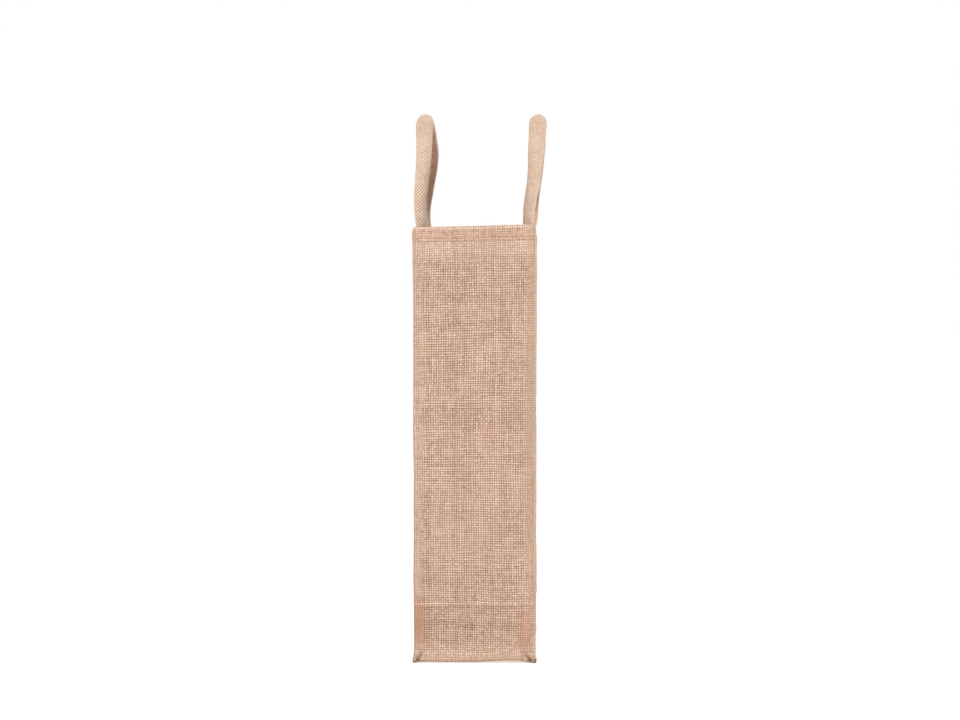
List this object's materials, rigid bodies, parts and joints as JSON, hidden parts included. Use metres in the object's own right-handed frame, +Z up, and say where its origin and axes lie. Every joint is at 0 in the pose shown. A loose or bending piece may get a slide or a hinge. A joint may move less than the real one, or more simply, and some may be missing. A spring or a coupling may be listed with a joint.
{
  "type": "two-bottle gift bag",
  "caption": "Tall open-topped bag of woven jute for wine bottles one behind the other, with a divider and padded loop handles that fold in and out.",
  "frame": {"origin": "middle of the base's underside, where the bag stands", "axes": "+Z up towards the mouth, +X across the narrow face to the right-hand handle, -Y out of the front narrow face"},
  "size_m": [0.1138, 0.2018, 0.463],
  "materials": {
    "jute_cloth": "coarse plain-weave jute, matt",
    "webbing": "plain-weave jute cut on the bias, matt",
    "handle_padding": "loose twisted cotton cord",
    "sewing_thread": "spun sewing thread"
  },
  "bodies": {
    "bag": {"base_panel": "jute_cloth", "front_panel": "jute_cloth", "rear_panel": "jute_cloth", "left_panel": "jute_cloth", "right_panel": "jute_cloth", "divider_panel": "jute_cloth", "handle_left_front_tab": "webbing", "handle_left_rear_tab": "webbing", "handle_right_front_tab": "webbing", "handle_right_rear_tab": "webbing", "hem_thread": "sewing_thread", "base_thread": "sewing_thread", "corner_thread_front_left": "sewing_thread", "corner_thread_rear_left": "sewing_thread", "corner_thread_front_right": "sewing_thread", "corner_thread_rear_right": "sewing_thread", "divider_thread_left": "sewing_thread", "divider_thread_right": "sewing_thread", "foot_thread_left_front": "sewing_thread", "foot_thread_left_rear": "sewing_thread", "foot_thread_right_front": "sewing_thread", "foot_thread_right_rear": "sewing_thread"},
    "handle_left": {"handle_left_sleeve": "webbing", "handle_left_core": "handle_padding", "handle_left_seam_thread": "sewing_thread"},
    "handle_right": {"handle_right_sleeve": "webbing", "handle_right_core": "handle_padding", "handle_right_seam_thread": "sewing_thread"}
  },
  "joints": [
    {"name": "handle_left_swing", "type": "hinge", "parent": "bag", "child": "handle_left", "pos_m": [-0.0475, 0, 0.372], "axis": [0, 1, 0], "range_deg": [-145, 28]},
    {"name": "handle_right_swing", "type": "hinge", "parent": "bag", "child": "handle_right", "pos_m": [0.0475, 0, 0.372], "axis": [0, -1, 0], "range_deg": [-142, 31]}
  ]
}
